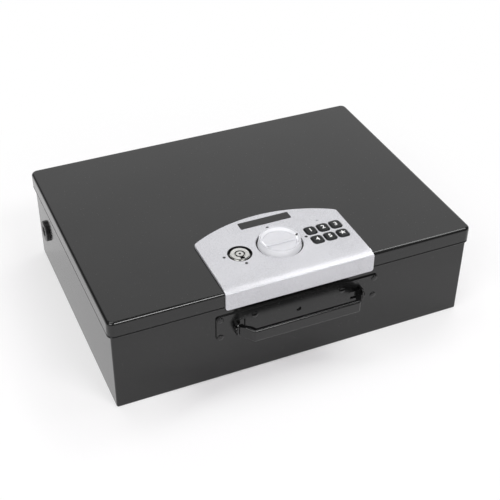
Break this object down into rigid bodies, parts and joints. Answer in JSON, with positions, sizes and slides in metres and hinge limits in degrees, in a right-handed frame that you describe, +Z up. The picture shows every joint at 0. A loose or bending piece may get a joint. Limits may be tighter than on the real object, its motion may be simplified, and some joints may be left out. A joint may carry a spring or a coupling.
{
  "type": "cash box",
  "caption": "Flat black steel cash box with a hinged lid, silver control panel with keypad, turn knob and key lock, and a carry handle on the front.",
  "frame": {"origin": "centre of the body's flat bottom, on the surface it stands on", "axes": "+X right along the front as you face it, +Y from the front with the handle to the rear hinges, +Z up"},
  "size_m": [0.3607, 0.2828, 0.1085],
  "materials": {
    "black_paint": "smooth glossy black paint on folded steel",
    "silver_plastic": "satin silver moulded plastic",
    "black_gloss": "glossy black plastic",
    "key_plastic": "dark grey glossy key caps",
    "black_plastic": "fine-grained black moulded plastic",
    "nickel": "bright nickel plate",
    "steel": "bright zinc-plated steel",
    "brass": "turned brass",
    "mat_rubber": "grey silicone rubber",
    "board": "green circuit board with lacquer",
    "coil_tape": "amber tape over copper wire",
    "light_lens": "green translucent lens",
    "cell_wrap": "plain shrink sleeve with a bare band"
  },
  "bodies": {
    "box": {"body_shell": "black_paint", "strike_bar": "black_paint", "handle_plate": "black_paint", "handle_pin_left": "black_paint", "handle_pin_right": "black_paint", "handle_rivets": "black_paint", "hinge_body_leaf_left": "black_paint", "hinge_body_leaf_right": "black_paint", "hinge_pin_left": "steel", "hinge_pin_right": "steel", "cable_anchor": "black_plastic", "anchor_nut": "steel"},
    "handle": {"carry_handle": "black_paint"},
    "lid": {"lid_shell": "black_paint", "control_panel": "silver_plastic", "panel_push_nuts": "steel", "label_plate": "black_gloss", "keypad_mat": "mat_rubber", "keypad_board": "board", "status_light": "light_lens", "spindle_bush": "brass", "spindle_nut": "steel", "solenoid_frame": "steel", "solenoid_coil": "coil_tape", "lock_barrel": "nickel", "lock_nut": "steel", "lock_case": "black_plastic", "case_studs": "steel", "case_screws": "steel", "battery_contacts": "steel", "hinge_lid_leaf_left": "black_paint", "hinge_lid_leaf_right": "black_paint", "battery_1": "cell_wrap", "battery_2": "cell_wrap", "battery_3": "cell_wrap", "battery_4": "cell_wrap"},
    "knob": {"turn_knob": "silver_plastic", "knob_spindle": "steel", "drive_crank": "steel"},
    "bolt": {"latch_bolt": "steel"},
    "plunger": {"solenoid_plunger": "steel"},
    "plug": {"lock_plug": "nickel", "lock_cam": "steel", "cam_screw": "steel"},
    "bay_door": {"battery_door": "black_plastic"},
    "key_1": {"key_1": "key_plastic"},
    "key_2": {"key_2": "key_plastic"},
    "key_3": {"key_3": "key_plastic"},
    "key_4": {"key_4": "key_plastic"},
    "key_5": {"key_5": "key_plastic"},
    "key_star": {"key_star": "key_plastic"}
  },
  "joints": [
    {"name": "lid_hinge", "type": "hinge", "parent": "box", "child": "lid", "pos_m": [0, 0.13085, 0.07965], "axis": [-1, 0, 0], "range_deg": [0, 100]},
    {"name": "handle_swing", "type": "hinge", "parent": "box", "child": "handle", "pos_m": [0, -0.1331, 0.05825], "axis": [1, 0, 0], "range_deg": [0, 70]},
    {"name": "knob_turn", "type": "hinge", "parent": "lid", "child": "knob", "pos_m": [0, -0.0845, 0.1], "axis": [0, 0, 1], "range_deg": [0, 90]},
    {"name": "bolt_slide", "type": "slide", "parent": "lid", "child": "bolt", "axis": [0, -1, 0], "range_m": [0, 0.01]},
    {"name": "plunger_slide", "type": "slide", "parent": "lid", "child": "plunger", "axis": [1, 0, 0], "range_m": [0, 0.004], "stiffness_N_per_m": 60, "springref_m": -0.002},
    {"name": "plug_turn", "type": "hinge", "parent": "lid", "child": "plug", "pos_m": [-0.04, -0.0845, 0.1], "axis": [0, 0, 1], "range_deg": [-90, 0]},
    {"name": "bay_door_slide", "type": "slide", "parent": "lid", "child": "bay_door", "axis": [0, 0, -1], "range_m": [0, 0.03]},
    {"name": "key_1_press", "type": "slide", "parent": "lid", "child": "key_1", "axis": [0, 0, -1], "range_m": [0, 0.0006], "stiffness_N_per_m": 800, "springref_m": -0.0004},
    {"name": "key_2_press", "type": "slide", "parent": "lid", "child": "key_2", "axis": [0, 0, -1], "range_m": [0, 0.0006], "stiffness_N_per_m": 800, "springref_m": -0.0004},
    {"name": "key_3_press", "type": "slide", "parent": "lid", "child": "key_3", "axis": [0, 0, -1], "range_m": [0, 0.0006], "stiffness_N_per_m": 800, "springref_m": -0.0004},
    {"name": "key_4_press", "type": "slide", "parent": "lid", "child": "key_4", "axis": [0, 0, -1], "range_m": [0, 0.0006], "stiffness_N_per_m": 800, "springref_m": -0.0004},
    {"name": "key_5_press", "type": "slide", "parent": "lid", "child": "key_5", "axis": [0, 0, -1], "range_m": [0, 0.0006], "stiffness_N_per_m": 800, "springref_m": -0.0004},
    {"name": "key_star_press", "type": "slide", "parent": "lid", "child": "key_star", "axis": [0, 0, -1], "range_m": [0, 0.0006], "stiffness_N_per_m": 800, "springref_m": -0.0004}
  ],
  "couplings": [
    {"joint": "knob_turn", "follows": "bolt_slide", "rad_per_m": 157.08}
  ]
}
